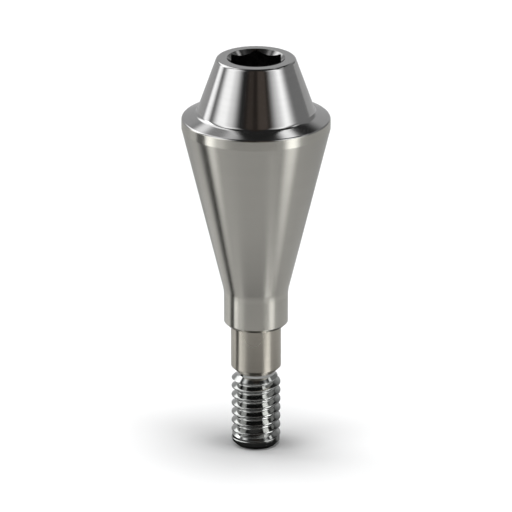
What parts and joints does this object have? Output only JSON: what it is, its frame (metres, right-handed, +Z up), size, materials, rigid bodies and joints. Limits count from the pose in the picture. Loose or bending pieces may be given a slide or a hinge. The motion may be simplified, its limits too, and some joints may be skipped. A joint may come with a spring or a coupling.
{
  "type": "dental abutment",
  "caption": "Straight one-piece dental abutment with a threaded shank, a stepped guide and collar, a conical body, a shoulder and a tapered head with a driver socket.",
  "frame": {"origin": "centre of the end face of the implant thread, which the part stands on", "axes": "+Z up along the part's axis, from the thread to the head; two corners of the driver hexagon lie on the Y axis"},
  "size_m": [0.0048, 0.0048, 0.0133],
  "materials": {
    "titanium": "titanium alloy, satin turned body with a polished head, collar and thread"
  },
  "bodies": {
    "root": {"abutment": "titanium"}
  },
  "joints": []
}
